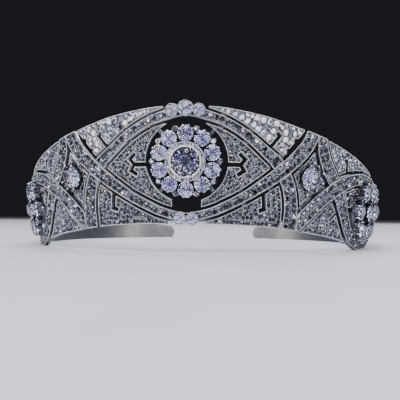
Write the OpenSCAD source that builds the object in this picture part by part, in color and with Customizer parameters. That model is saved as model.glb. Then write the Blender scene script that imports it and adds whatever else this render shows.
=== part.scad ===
// Bandeau tiara of interlaced ovals: a pierced and paved wall round the front of the head, with a round
// brooch in the middle, a stone in a lozenge on each side, and a cluster of stones in the oval past it.
// The front faces -Y. Plan angles are degrees from the front, growing towards +X, and heights are
// millimetres above the surface that the tiara stands on: the feet of the side ovals and the back bands.
// The left-hand pieces mirror the right-hand ones.

/* [Wall] */
// Radius of the paved face at the foot of the wall
wall_r = 70.6; // [66:0.1:80]
// Angle by which the wall leans outwards
flare = 8; // [4:0.5:12]
// Thickness of the paved plates
plate_t = 1.3; // [1.2:0.1:1.6]
// Thickness of the plain back bands
back_t = 1.8; // [1.5:0.1:2]
// Width of the open gap between a ribbon of the front and a plate
front_gap = 0.9; // [0.6:0.05:1]
// Width of the open gap between a ribbon of the side and a plate
side_gap = 1.15; // [0.9:0.05:1.2]
// How far a ribbon stands proud of the plates
ribbon_rise = 0.45; // [0.3:0.05:0.6]
// How far the ribbon on top at a crossing stands proud of the plates
over_rise = 0.85; // [0.7:0.05:1.1]

/* [Brooch] */
// Height of the middle of the brooch
brooch_h = 29.9; // [29.2:0.1:30.2]
// Diameter of the middle stone
brooch_stone_d = 8.2; // [7.4:0.1:8.4]
// Number of stones round it
petal_n = 10; // [8:1:10]
// Diameter of each of them
petal_d = 5.1; // [4.4:0.1:5.2]
// Radius of the ring that they stand on
petal_ring_r = 8.95; // [8.8:0.05:9.2]
// Radius of the open round that the brooch stands in
brooch_open_r = 13.4; // [13:0.1:13.8]

/* [Side stones] */
// Diameter of the stone in the lozenge
lozenge_stone_d = 8.2; // [7:0.1:8.6]
// Diameter of a cluster's outer stones
cluster_stone_d = 6.8; // [6.4:0.1:7.2]
// Diameter of a cluster's middle stone
cluster_mid_d = 6.4; // [5.6:0.1:6.8]
// Radius of the ring that a cluster's outer stones stand on
cluster_ring_r = 8.1; // [8:0.1:8.7]
// Diameter of the middle stone at the top of the front
top_stone_d = 4.2; // [3.6:0.1:4.4]
// Diameter of the small stones beside it and at the foot
small_stone_d = 3.3; // [2.8:0.1:3.5]

/* [Hidden] */

metal_colour = [0.8, 0.81, 0.84];
pave_colour = [0.72, 0.74, 0.8];
stone_colour = [0.86, 0.89, 0.97];
clear = 0.06;      // gap between a stone and its seat, and between a tab and its ribbon
front_tab_r = 0.8; // radius of a tab that crosses a gap of the front
side_tab_r = 0.95; // the same beside a side ribbon
tab_t = 0.8;       // thickness of a tab
tab_out = -0.2;    // height of a tab's face above the plate's
lip = 0.12;        // step at the edge of the ribbon on top
mid_h = 24;        // height at which the wall is unrolled
axis_y = 6.59;     // how far the wall's axis stands behind the middle of the whole
reach = 30;        // how far past the wall a cutter goes
steps = 6;         // short lines between two rows of a table
front = 0;         // plan angle that the front's ribbons face
side = 56;         // plan angle that the side's ribbons face
back = 120;        // plan angle that the back band faces
band_start = 82;   // plan angle at which the side ribbons end and the back band starts
band_end = 160.2;  // plan angle at which the back band ends

ANGLE = 0;
HEIGHT = 1;
WIDTH = 2;
// Top edge of the wall: plan angle, height
top_edge = [[0, 47.2], [6, 47.2], [10, 46.7], [15, 45.7], [20, 44.5], [25, 42.9], [30, 41.3], [35, 39.7],
    [40, 38], [50, 34.3], [60, 30.3], [66, 27.4], [80, 22], [90, 19], [161, 19]];
// Bottom edge of the wall, arched at the front: plan angle, height
rim = [[0, 9.7], [10, 9.6], [20, 9], [25, 8.4], [30, 7.6], [35, 6.7], [40, 5.8], [44, 5], [48, 4], [51, 3.1],
    [53, 0], [161, 0]];
// Middle line of the ribbon that falls from the top of the front to the rim: plan angle, height, width
upper_ribbon = [[0, 45.8, 2.9], [5, 44.4, 2.9], [10, 42, 2.8], [15, 38.2, 3], [20, 33.2, 3.5],
    [23.2, 29.8, 4.2], [25.5, 25.7, 4.6], [27.1, 21.4, 4.9], [28, 16.1, 5.2], [28.1, 11.1, 5.3],
    [27.9, 5.6, 5.3]];
// Middle line of the ribbon that climbs over it from the foot of the front to the top edge
lower_ribbon = [[0, 11.9, 3.2], [6, 13.5, 3.1], [10, 15.6, 3.3], [15, 18.9, 3.5], [20, 23, 4.2],
    [23.3, 26, 4.6], [26.2, 28.9, 4.9], [28.3, 31.4, 5.2], [30.4, 34.2, 5.4], [32.2, 37.6, 5.4],
    [33.9, 43.6, 5.3]];
// Middle line of the ribbon that climbs from the rim over the side oval and runs on as the lower rail
rising_ribbon = [[28, 8, 5.2], [30.5, 10.7, 5.4], [33, 13.5, 5.6], [36.7, 17.5, 5.6], [41.5, 21.4, 5.6],
    [46.5, 24.3, 5.2], [51, 25.8, 4.6], [55.5, 26.4, 4.1], [60, 26, 3.8], [64.5, 24.7, 3.7], [69, 22.1, 3.7],
    [72.5, 18.6, 3.7], [75, 14.4, 3.8], [77.2, 9.9, 3.8], [80, 5.8, 3.8], [84, 3, 3.6], [90, 1.9, 3.4],
    [100, 1.5, 3.2], [115, 1.4, 3], [162, 1.4, 3]];
// Middle line of the ribbon that falls from the top edge under the side oval and runs on as the upper rail
falling_ribbon = [[35.3, 43.6, 4.2], [35.9, 38.6, 4.2], [36.8, 34.1, 4.6], [38.6, 29.8, 5], [41, 26.1, 5.2],
    [43.5, 22.2, 5.3], [46.1, 17.3, 5.1], [48.3, 13.1, 5.1], [50.4, 9, 4.9], [52.7, 6, 4.7], [56, 3.6, 4.3],
    [60, 2, 3.8], [65, 1.5, 3.7], [70, 2, 3.7], [74, 4.9, 3.8], [77, 9.7, 3.8], [79.8, 13.4, 3.8],
    [84, 15.4, 3.6], [90, 15.4, 3.4], [100, 14, 3.2], [115, 11.6, 3], [130, 9.3, 3], [145, 6.9, 3],
    [162, 4.4, 3]];
cross_front = [24.6, 27.3];

// Openings drawn as a bar along each line: plan angle, height, width of the bar
infill_slots = [[[13.1, 32.6, 1.4], [14.7, 30.8, 1.4], [13.6, 29, 1.4], [14.5, 27, 1.4], [12.7, 25.6, 1.4]],
    [[9, 29, 1.45], [13.8, 29, 1.45]]];
spandrel_slots = [[[21.1, 35, 1.4], [23.4, 38.7, 1.4], [22.5, 39.8, 1.4]]];
lower_slots = [[[19.8, 20, 1.5], [20.3, 14.8, 1.5]], [[18.8, 14.1, 1.5], [21, 15, 1.5]]];
upper_triangle_slots = [[[47.3, 28, 1.2], [46.9, 32.2, 1.2], [45.7, 32.3, 1.2]]];
lower_triangle_slots = [[[42.1, 11, 1.1], [44.9, 14.1, 1.1]]];
oval_slots = [[[55.4, 24.4, 1], [55.8, 20.9, 1]], [[55.8, 24.3, 1.6], [61.6, 24.1, 2]],
    [[54, 17.6, 1], [53.2, 16.4, 1], [53, 15, 1]]];
// Stepped edge of the spandrel beside the ribbon that passes over: plan angle, height
spandrel_steps = [[24.8, 29.6], [24.8, 32.9], [25.5, 32.9], [25.5, 34.9], [26.3, 34.9], [27.4, 36.6],
    [27.4, 38.2], [28.6, 38.2], [29.5, 39.5], [29.9, 40.4], [32, 40.4], [32, 34.6]];
// Outline of the plate in the front part of a side oval: plan angle, height
oval_window = [[47.2, 15.2], [46.2, 18.6], [45.4, 21.8], [46.5, 24.3], [51, 25.8], [55.5, 26.4], [60, 26],
    [61.5, 25.5], [61.5, 20], [57, 16.8], [52.5, 16.2]];
// Outline of a back band, with its rounded end: plan angle, height
back_window = [[78, -1], [78, 20], [156, 20], [158.4, 6.6], [159.6, 5.2], [160, 3.2], [159.6, 1.2],
    [158.6, -1]];

// Tabs that hold a plate to its ribbons: plan angle, height
infill_tabs = [[8.4, 41.1], [14.6, 36.2], [14.1, 20.6], [19, 25], [20.8, 29.2]];
spandrel_tabs = [[9.1, 44.4], [15.8, 39.8], [24.2, 32.3]];
lower_tabs = [[15, 16.3], [21.9, 21.4], [25.2, 12]];
lozenge_tabs = [[30.2, 29.4], [29.2, 23.1], [35.6, 20.75], [36.6, 28.3]];
upper_triangle_tabs = [[39.3, 33.8], [41.4, 29.8], [50.8, 28.5], [57, 28.7]];
lower_triangle_tabs = [[38.6, 15.3], [43.9, 15.9], [48.3, 8]];
oval_tabs = [[48.9, 17.2], [50.8, 22.9], [54.5, 24]];
oval_tip_tabs = [[71.3, 17], [72.9, 6.6]];

// Where the large stones stand: plan angle, height
lozenge_at = [32.9, 25.4];
cluster_at = [60.2, 14.8];
top_at = [[-3.1, 45.9], [0, 46.4], [3.1, 45.9]];
bottom_at = [[-1.55, 11.8], [1.55, 11.8]];
brooch_rise = 1.9;       // how far the girdles of the petal stones stand out from the wall
centre_rise = 3.4;       // the same for the brooch's middle stone
lozenge_rise = 1.9;
cluster_rise = 2.65;
cluster_mid_rise = 3.3;
cluster_cup_h = 1.7;
collet_rise = 2.4;
cup_back = 0.12;         // how far the cup under a stone stays behind the stone's edge
petal_accent_r = 0.95;   // radius of the cup of an accent stone in the brooch
cluster_accent_r = 1.2;  // the same in a cluster
accent_h = 1.8;          // height of an accent stone's cup in the brooch
cluster_accent_h = 1.65;
claw_r = 0.34;
brooch_hollow_r = 4.8;   // radius of the hollow behind the brooch's middle stone
cluster_foot_r = 5;      // radius of the foot that a cluster stands on
culet_hole_r = 0.9;

mm_per_deg = (wall_r + mid_h * tan(flare)) * PI / 180;

function face_r(h) = wall_r + h * tan(flare);
function unroll(row) = [row[ANGLE] * mm_per_deg, row[HEIGHT]];
// Folds points of the unrolled wall onto the flat drawing that faces plan angle a0
function fold(points, a0) = [for (p = points) [face_r(p.y) * sin(p.x / mm_per_deg - a0), p.y]];
function unrolled(rows) = [for (row = rows) unroll(row)];
function backwards(rows) = [for (i = [len(rows) - 1:-1:0]) rows[i]];
function left_of(rows) = [for (row = rows) [-row[ANGLE], row[HEIGHT], row[WIDTH]]];
// One ribbon across the front, from its left end to its right end
function across(rows) = concat([for (i = [len(rows) - 1:-1:1]) left_of(rows)[i]], rows);
function between(rows, from, to) = [for (row = rows) if (row[ANGLE] > from && row[ANGLE] < to)
    [row[ANGLE], row[HEIGHT]]];

function spline(p, q, r, s, t) = 0.5 * (2 * q + (r - p) * t + (2 * p - 5 * q + 4 * r - s) * t * t
    + (3 * q - p - 3 * r + s) * t * t * t);
// A smooth line through the rows of a table
function smooth(rows) = let (last = len(rows) - 1) [
    for (i = [0:last - 1]) for (k = [0:steps - 1])
        spline(rows[max(i - 1, 0)], rows[i], rows[i + 1], rows[min(i + 2, last)], k / steps),
    rows[last]];
function unit(v) = v / norm(v);
// The line beside a middle line, on one side of it, with mitred corners
function beside(rows, side, extra) = let (p = unrolled(rows), last = len(rows) - 1) [
    for (i = [0:last]) let (
        before = unit(p[max(i, 1)] - p[max(i, 1) - 1]),
        after = unit(p[min(i + 1, last)] - p[min(i + 1, last) - 1]),
        along = unit(before + after),
        half = (rows[i][WIDTH] / 2 + extra) / max(along * after, 0.5))
        p[i] + side * half * [-along.y, along.x]];

module shape(points, a0) polygon(fold(points, a0));
module bar(rows, a0, extra = 0) shape(concat(beside(rows, 1, extra), backwards(beside(rows, -1, extra))), a0);
module ribbon(rows, a0, extra = 0) bar(smooth(rows), a0, extra);

// The outline of the wall between two plan angles
module outline(from, to, a0) shape(concat(
    [for (a = [from:1:to]) [a * mm_per_deg, lookup(abs(a), top_edge)]],
    [for (a = [to:-1:from]) [a * mm_per_deg, lookup(abs(a), rim)]]), a0);

// A flat drawing that faces plan angle a0, wrapped on the wall from depth inner to depth outer, and cut
// square to the wall at the ends of a span of plan angles
module on_wall(a0, inner, outer, span = []) let (from = len(span) > 0 ? span[0] : a0 - 90,
    to = len(span) > 0 ? span[1] : a0 + 90) translate([0, axis_y, 0]) rotate([0, 0, a0]) intersection() {
        rotate_extrude(angle = to - from, start = 270 + from - a0) polygon([for (corner = [[-1, inner],
            [-1, outer], [50, outer], [50, inner]]) [face_r(corner[0]) + corner[1], corner[0]]]);
        rotate([90, 0, 0]) linear_extrude(height = wall_r + reach) children();
    }
// The spot of the flat drawing, facing plan angle a0, that lies over a place on the wall
module spot(at, a0) translate(fold([unroll(at)], a0)[0]) children();

// Stands a piece on the wall, its own Z along the wall's outward normal
module place(at, out = 0) translate([0, axis_y, 0]) rotate([0, 0, at[ANGLE]])
    translate([0, -face_r(at[HEIGHT]), at[HEIGHT]]) rotate([90 + flare, 0, 0])
        translate([0, 0, out]) children();

// The rows of a table near a span of plan angles, with enough beyond it to keep the line's bend
function near(rows, from, to) = [for (row = rows) if (row[ANGLE] > from - 12 && row[ANGLE] < to + 12) row];
// The space round a stretch of the two ribbons of the front, or of the side, through the whole wall
module front_space(extra, from, to) on_wall(front, -plate_t * 2, plate_t * 2) {
    ribbon(near(across(upper_ribbon), from, to), front, extra);
    ribbon(near(across(lower_ribbon), from, to), front, extra);
}
module side_space(extra, from, to) on_wall(side, -plate_t * 2, plate_t * 2) {
    ribbon(near(rising_ribbon, from, to), side, extra);
    ribbon(near(falling_ribbon, from, to), side, extra);
}

// A paved plate: what its window leaves between the ribbons, less its slots, with thinner tabs over the gaps
module plate(window, at_front, at_side, slots, tabs, from, to, a0) {
    difference() {
        on_wall(a0, -plate_t, 0) difference() {
            intersection() {
                outline(from, to, a0);
                union() {
                    shape(unrolled(window), a0);
                    children();
                }
            }
            for (rows = slots) bar(rows, a0);
        }
        if (at_front) front_space(front_gap, from, to);
        if (at_side) side_space(side_gap, from, to);
    }
    difference() {
        on_wall(a0, tab_out - tab_t, tab_out)
            for (tab = tabs) spot(tab, a0) circle(r = at_side ? side_tab_r : front_tab_r, $fn = 24);
        if (at_front) front_space(clear, from, to);
        if (at_side) side_space(clear, from, to);
    }
}

module stone(d) rotate_extrude($fn = 48) polygon([[0, -0.43 * d], [0.5 * d, -0.015 * d], [0.5 * d, 0.015 * d],
    [0.28 * d, 0.167 * d], [0, 0.167 * d]]);
// What a stone's seat cuts away: the pavilion's cone, open below and above
module seat(d) rotate_extrude($fn = 48) polygon([[0, -2 * d], [0.28 * d, -2 * d],
    [0.28 * d, -0.198 * d - clear], [0.5 * d + clear, -0.015 * d - clear], [0.5 * d + clear, d], [0, d]]);
module cup(d, base) translate([0, 0, base]) cylinder(r = d / 2 - cup_back, h = -base, $fn = 48);
module claws(d, count, base, first = 0) for (i = [0:count - 1]) rotate([0, 0, first + i * 360 / count])
    translate([d / 2 + claw_r * 0.9, 0, base]) cylinder(r = claw_r, h = -base + 0.1 * d, $fn = 24);

module front_ribbons() color(pave_colour) {
    on_wall(front, -plate_t, ribbon_rise) intersection() {
        outline(-36, 36, front);
        union() {
            ribbon(across(upper_ribbon), front);
            ribbon(across(lower_ribbon), front);
        }
    }
    on_wall(front, -plate_t / 2, over_rise) intersection() {
        outline(-36, 36, front);
        ribbon(across(lower_ribbon), front, -lip);
    }
}

module infill_plate() color(pave_colour) difference() {
    plate(concat(between(upper_ribbon, 3, 24), [cross_front], backwards(between(lower_ribbon, 5, 24)),
        [[3.6, 12.9]]),
        true, false, infill_slots, infill_tabs, 3, 25, 12);
    place([0, brooch_h], -plate_t * 3) cylinder(r = brooch_open_r, h = plate_t * 6, $fn = 96);
}

module spandrel() color(pave_colour) difference() {
    plate(concat([[5.4, 50], [5.4, 44.2]], between(upper_ribbon, 6, 24), [cross_front],
        between(lower_ribbon, 26, 30), [[30.2, 34], [30.2, 50]]),
        true, false, spandrel_slots, spandrel_tabs, 5, 31, 18);
    on_wall(18, -plate_t - 1, 1) shape(unrolled(spandrel_steps), 18);
}

module lower_plate() color(pave_colour) plate(
    concat([[5.4, -1], [5.4, 13.3]], between(lower_ribbon, 5.5, 24), [cross_front],
        between(upper_ribbon, 25, 28), [[28, 11.1], [28, -1]]),
    true, false, lower_slots, lower_tabs, 5, 28, 16);

module lozenge() color(metal_colour) difference() {
    union() {
        plate([cross_front, [28.3, 31.4], [30.4, 34.2], [33, 39.2], [35.6, 38.6], [36.8, 34.1],
            [38.6, 29.8], [41, 26.1], [43.3, 22.6], [41.5, 21.4], [36.7, 17.5], [33, 13.5], [31, 11.2],
            [28, 13.6], [28, 16.1], [27.1, 21.4], [25.5, 25.7]],
            true, true, [], lozenge_tabs, 24, 44, 34);
        place(lozenge_at, lozenge_rise) {
            cup(lozenge_stone_d, -lozenge_rise - 0.6);
            claws(lozenge_stone_d, 8, -lozenge_rise - 0.5, 22.5);
        }
    }
    place(lozenge_at, lozenge_rise) seat(lozenge_stone_d);
}

module upper_triangle() color(pave_colour) plate(
    [[35.9, 38.6], [36.8, 34.1], [38.6, 29.8], [41, 26.1], [43, 23.4], [46.5, 24.3], [51, 25.8], [55.5, 26.4],
        [60, 26], [63.5, 25.2], [63.5, 50], [35.6, 50]],
    false, true, upper_triangle_slots, upper_triangle_tabs, 35, 64, 50);

module lower_triangle() color(pave_colour) plate(
    [[31.6, -1], [31.6, 12], [33, 13.5], [36.7, 17.5], [41.5, 21.4], [43.9, 21.8], [46.1, 17.3], [48.3, 13.1],
        [50.4, 9], [51.3, 7.6], [51.3, -1]],
    true, true, lower_triangle_slots, lower_triangle_tabs, 31, 53, 42);

module side_ribbons() color(pave_colour) difference() {
    union() {
        on_wall(side, -plate_t, ribbon_rise, [side - 90, band_start]) intersection() {
            outline(28, band_start + 4, side);
            union() {
                ribbon(near(rising_ribbon, 28, band_start), side);
                ribbon(near(falling_ribbon, 28, band_start), side);
            }
        }
        on_wall(side, -plate_t / 2, over_rise, [side - 90, band_start]) intersection() {
            outline(28, band_start + 4, side);
            ribbon(near(rising_ribbon, 28, band_start), side, -lip);
        }
    }
    front_space(clear * 2, 28, 36);
}

// The plate in the front part of the side oval, with the round that the cluster stands on, and a hole that
// takes the point of one of its stones
module oval_plate() color(pave_colour) difference() {
    plate(oval_window, false, true, oval_slots, oval_tabs, 45, 67, 54)
        spot(cluster_at, 54) circle(r = cluster_foot_r + 1, $fn = 72);
    place(cluster_at, -plate_t * 3) rotate([0, 0, 120]) translate([cluster_ring_r, 0, 0])
        cylinder(r = culet_hole_r, h = plate_t * 6, $fn = 36);
}

module oval_tip() color(pave_colour) difference() {
    plate([[66.5, 23.6], [69, 22.1], [72.5, 18.6], [75, 14.4], [77.1, 9.8], [74, 4.9], [70, 2], [66.5, 1.6]],
        false, true, [], oval_tip_tabs, 66, 78, 72);
    place(cluster_at, -plate_t * 3) cylinder(r = cluster_ring_r + 4.8, h = plate_t * 6, $fn = 96);
}

module back_section() color(metal_colour) {
    on_wall(back, -back_t, ribbon_rise, [band_start + clear, band_end]) intersection() {
        outline(band_start - 4, band_end, back);
        shape(unrolled(back_window), back);
        union() {
            ribbon(near(rising_ribbon, band_start, band_end), back);
            ribbon(near(falling_ribbon, band_start, band_end), back);
        }
    }
    on_wall(back, lip - back_t, 0) intersection() {
        shape(unrolled(back_window), back);
        shape(unrolled(concat(between(rising_ribbon, band_start, 163),
            backwards(between(falling_ribbon, band_start, 163)))), back);
    }
}

// A ring of cups, with the cup of a small accent stone outside each gap between them
module ring_of_cups(d, ring_r, count, cup_h, accents_at, accent_r, h) for (i = [0:count - 1]) {
    rotate([0, 0, i * 360 / count]) translate([ring_r, 0, 0]) cup(d, -cup_h);
    rotate([0, 0, (i + 0.5) * 360 / count]) translate([accents_at, 0, -h])
        cylinder(r = accent_r, h = h, $fn = 24);
}

module brooch_setting() color(metal_colour) place([0, brooch_h], 0) difference() {
    union() {
        translate([0, 0, brooch_rise]) rotate([0, 0, 90])
            ring_of_cups(petal_d, petal_ring_r, petal_n, 2, petal_ring_r + 1.9, petal_accent_r, accent_h);
        translate([0, 0, -0.6]) cylinder(r = petal_ring_r - 2.7, h = centre_rise + 0.3, $fn = 72);
        translate([0, 0, centre_rise]) {
            cup(brooch_stone_d, -2);
            claws(brooch_stone_d, 8, -2, 22.5);
        }
        translate([0, 0, -0.9]) cylinder(r = petal_ring_r + 1.6, h = 1.2, $fn = 72);
        for (a = [48, 132, 228, 312]) rotate([0, 0, a]) translate([petal_ring_r, -0.5, -1.6])
            cube([brooch_open_r - petal_ring_r - 0.15, 1, 1.1]);
    }
    translate([0, 0, brooch_rise]) for (i = [0:petal_n - 1]) rotate([0, 0, 90 + i * 360 / petal_n])
        translate([petal_ring_r, 0, 0]) seat(petal_d);
    translate([0, 0, centre_rise]) seat(brooch_stone_d);
    translate([0, 0, -2]) cylinder(r = brooch_hollow_r, h = 3, $fn = 48);
}

module brooch_stone() color(stone_colour) place([0, brooch_h], centre_rise) stone(brooch_stone_d);

module petal_stone(i) color(stone_colour) place([0, brooch_h], brooch_rise)
    rotate([0, 0, 90 - i * 360 / petal_n]) translate([petal_ring_r, 0, 0]) stone(petal_d);

module cluster_setting() color(metal_colour) place(cluster_at, 0) difference() {
    union() {
        translate([0, 0, cluster_rise]) ring_of_cups(cluster_stone_d, cluster_ring_r, 6, cluster_cup_h,
            cluster_ring_r + 1.5, cluster_accent_r, cluster_accent_h);
        translate([0, 0, cluster_mid_rise]) cup(cluster_mid_d, -2.2);
        translate([0, 0, over_rise + 0.2]) cylinder(r = cluster_ring_r + 1.2, h = 0.8, $fn = 72);
        translate([0, 0, clear]) cylinder(r = cluster_foot_r, h = 1.4, $fn = 72);
    }
    translate([0, 0, cluster_rise]) for (i = [0:5]) rotate([0, 0, i * 60]) translate([cluster_ring_r, 0, 0])
        seat(cluster_stone_d);
    translate([0, 0, cluster_mid_rise]) seat(cluster_mid_d);
}

module cluster_stone(i) color(stone_colour) place(cluster_at, i == 0 ? cluster_mid_rise : cluster_rise) {
    if (i == 0) stone(cluster_mid_d);
    else rotate([0, 0, i * 60]) translate([cluster_ring_r, 0, 0]) stone(cluster_stone_d);
}

module lozenge_stone() color(stone_colour) place(lozenge_at, lozenge_rise) stone(lozenge_stone_d);

function collet_d(at) = at[ANGLE] == 0 ? top_stone_d : small_stone_d;
module collets(places, base) color(metal_colour) difference() {
    for (at = places) place(at, collet_rise) {
        translate([0, 0, -collet_rise + base]) cylinder(r = collet_d(at) / 2 + 0.4,
            h = collet_rise - base + 0.1, $fn = 48);
    }
    for (at = places) place(at, collet_rise) seat(collet_d(at));
}
module collet_stone(at) color(stone_colour) place(at, collet_rise) stone(collet_d(at));

module right_piece(name) {
    if (name == "infill_plate") infill_plate();
    if (name == "spandrel") spandrel();
    if (name == "lower_plate") lower_plate();
    if (name == "lozenge") lozenge();
    if (name == "upper_triangle") upper_triangle();
    if (name == "lower_triangle") lower_triangle();
    if (name == "side_ribbons") side_ribbons();
    if (name == "oval_plate") oval_plate();
    if (name == "oval_tip") oval_tip();
    if (name == "back_section") back_section();
    if (name == "lozenge_stone") lozenge_stone();
    if (name == "cluster_setting") cluster_setting();
}

front_ribbons();
brooch_setting();
brooch_stone();
collets(top_at, ribbon_rise + clear);  // top_collets
collets(bottom_at, over_rise + clear);  // bottom_collets
for (name = ["infill_plate", "spandrel", "lower_plate", "lozenge", "upper_triangle", "lower_triangle",
    "side_ribbons", "oval_plate", "oval_tip", "back_section", "lozenge_stone", "cluster_setting"]) {
    right_piece(name);
    mirror([1, 0, 0]) right_piece(name);
}
for (i = [1:petal_n]) petal_stone(i - 1);
for (i = [0:6]) {
    cluster_stone(i);
    mirror([1, 0, 0]) cluster_stone(i);
}
collet_stone(top_at[0]);  // top_stone_left
collet_stone(top_at[1]);  // top_stone_middle
collet_stone(top_at[2]);  // top_stone_right
collet_stone(bottom_at[0]);  // bottom_stone_left
collet_stone(bottom_at[1]);  // bottom_stone_right
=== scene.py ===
# Bandeau tiara: pave stones, milgrain edges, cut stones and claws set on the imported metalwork.
import math
import random

import bmesh
import bpy
import numpy as np
from mathutils import Matrix, Vector
from mathutils.geometry import delaunay_2d_cdt
from mathutils.kdtree import KDTree


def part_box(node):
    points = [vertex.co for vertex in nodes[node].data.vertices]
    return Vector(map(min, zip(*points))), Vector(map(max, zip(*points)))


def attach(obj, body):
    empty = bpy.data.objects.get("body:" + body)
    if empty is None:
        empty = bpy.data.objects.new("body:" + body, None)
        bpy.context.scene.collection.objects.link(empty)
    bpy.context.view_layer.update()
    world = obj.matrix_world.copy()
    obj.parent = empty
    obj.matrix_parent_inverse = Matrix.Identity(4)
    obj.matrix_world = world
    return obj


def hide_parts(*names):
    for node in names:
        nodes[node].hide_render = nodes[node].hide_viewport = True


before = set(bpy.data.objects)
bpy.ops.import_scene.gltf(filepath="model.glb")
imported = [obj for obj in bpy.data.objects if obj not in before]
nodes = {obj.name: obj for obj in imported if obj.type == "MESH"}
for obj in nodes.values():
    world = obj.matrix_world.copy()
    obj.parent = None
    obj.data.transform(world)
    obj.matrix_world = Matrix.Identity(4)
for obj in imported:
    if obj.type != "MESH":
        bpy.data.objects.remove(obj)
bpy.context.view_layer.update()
mm = 0.001
# where the random draws of each kind of piece start
seeds = {"pave": 100, "largeStones": 500, "settings": 900}
print("frame loaded", len(nodes), "nodes")


# Colours and nodes

def hexColour(code):
    channels = [int(code[i:i + 2], 16) / 255 for i in (1, 3, 5)]
    return [c / 12.92 if c <= 0.04045 else ((c + 0.055) / 1.055) ** 2.4 for c in channels] + [1]


def addNode(tree, kind, settings=None, links=None):
    # a setting is a socket, a property of the node, or a colour ramp's stops
    node = tree.nodes.new(kind)
    for name, value in (settings or {}).items():
        if name == "stops":
            elements = node.color_ramp.elements
            while len(elements) < len(value):
                elements.new(0.5)
            for element, (place, code) in zip(elements, value):
                element.position = place
                element.color = hexColour(code)
        elif isinstance(name, int) or name in node.inputs:
            node.inputs[name].default_value = value
        else:
            setattr(node, name, value)
    for name, source in (links or {}).items():
        tree.links.new(source, node.inputs[name])
    return node


def newMaterial(name, shaderSettings):
    material = bpy.data.materials.new(name)
    material.use_nodes = True
    tree = material.node_tree
    shader = tree.nodes["Principled BSDF"]
    for socket, value in shaderSettings.items():
        shader.inputs[socket].default_value = value
    return material, tree, shader


# Metals: silver plated with rhodium, which makes it white, with sizes in mm

def multiplyByRamp(tree, colour, fac, stops):
    shade = addNode(tree, "ShaderNodeValToRGB", {"stops": stops}, {"Fac": fac})
    mixed = addNode(tree, "ShaderNodeMix", {"data_type": "RGBA", "blend_type": "MULTIPLY", 0: 1.0},
                    {6: colour, 7: shade.outputs["Color"]})
    return mixed.outputs[2]


# painted shade for hollows: how far to look for metal around, how shut in a point is where the shade is
# fullest and where it ends, and the shade's colour
paintedRecessShade = {"reach": 1.6, "closed": 0.42, "open": 0.92, "shade": "#07070a"}


def paintShadeInRecesses(tree, colour):
    # painted shade: black in the openings and between the stones, darkest where the metal is most shut in by
    # its neighbours
    hollow = addNode(tree, "ShaderNodeAmbientOcclusion", {"Distance": paintedRecessShade["reach"] * mm, "samples": 6})
    openness = addNode(tree, "ShaderNodeMapRange", {"From Min": paintedRecessShade["closed"], "From Max": paintedRecessShade["open"]},
                       {"Value": hollow.outputs["AO"]})
    stops = [(0.0, paintedRecessShade["shade"]), (1.0, "#ffffff")]
    return multiplyByRamp(tree, colour, openness.outputs["Result"], stops)


silver = {
    # buffed to a mirror: claws, beads between stones and the backs of the plates
    "rhodium_silver_polished": {"roughness": (0.1, 0.26), "shade": "#cdd0d7", "light": "#f1f2f5"},
    # rolled into tiny beads: a soft white line
    "rhodium_silver_milgrain": {"roughness": (0.34, 0.5), "shade": "#e2e4ea", "light": "#fbfbfd"},
    # brushed: a plain grey sheen on the back bands
    "rhodium_silver_satin": {"roughness": (0.3, 0.42), "shade": "#8b8e95", "light": "#999ca3"},
    # pierced metal under the stones, given a darker grey as painted shade, with painted shade in its hollows
    "rhodium_silver_setting": {"roughness": (0.16, 0.32), "shade": "#4a4d56", "light": "#6c6f7a"},
}
# real polishing lines are finer, and are drawn as coarse as they need to show
polish = {"scratchLength": 3.0, "scratchWidth": 0.12, "scratchDepth": 0.02, "scratchStrength": 0.08,
          "cloud": 4.0}


def makeSilver(name, withPaintedShade=False):
    # faint scratches along the wall, and clouds where the plating is a little thinner
    finish = silver[name]
    material, tree, shader = newMaterial(name, {"Metallic": 1.0})
    place = addNode(tree, "ShaderNodeTexCoord").outputs["Object"]
    along, across = 1 / (polish["scratchLength"] * mm), 1 / (polish["scratchWidth"] * mm)
    stretch = addNode(tree, "ShaderNodeMapping", {"Scale": (along, along, across)}, {"Vector": place})
    scratches = addNode(tree, "ShaderNodeTexNoise", {"Scale": 1.0, "Detail": 3.0},
                        {"Vector": stretch.outputs["Vector"]})
    low, high = finish["roughness"]
    roughness = addNode(tree, "ShaderNodeMapRange", {"To Min": low, "To Max": high},
                        {"Value": scratches.outputs["Fac"]})
    bump = addNode(tree, "ShaderNodeBump",
                   {"Strength": polish["scratchStrength"], "Distance": polish["scratchDepth"] * mm},
                   {"Height": scratches.outputs["Fac"]})
    clouds = addNode(tree, "ShaderNodeTexNoise", {"Scale": 1 / (polish["cloud"] * mm), "Detail": 2.0},
                     {"Vector": place})
    tint = addNode(tree, "ShaderNodeValToRGB", {"stops": [(0.3, finish["shade"]), (0.7, finish["light"])]},
                   {"Fac": clouds.outputs["Fac"]})
    colour = tint.outputs["Color"]
    # painted shade in the hollows of metal that sits under and between stones
    if withPaintedShade:
        colour = paintShadeInRecesses(tree, colour)
    tree.links.new(roughness.outputs["Result"], shader.inputs["Roughness"])
    tree.links.new(bump.outputs["Normal"], shader.inputs["Normal"])
    tree.links.new(colour, shader.inputs["Base Color"])
    return material


# a graver's real cuts are about half as wide, and are drawn as coarse as they need to show
graver = {"light": "#a5a8b3", "shade": "#3c3e47", "cutWidth": 0.55, "depth": 0.08, "strength": 0.6,
          "roughness": (0.22, 0.45)}


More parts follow.
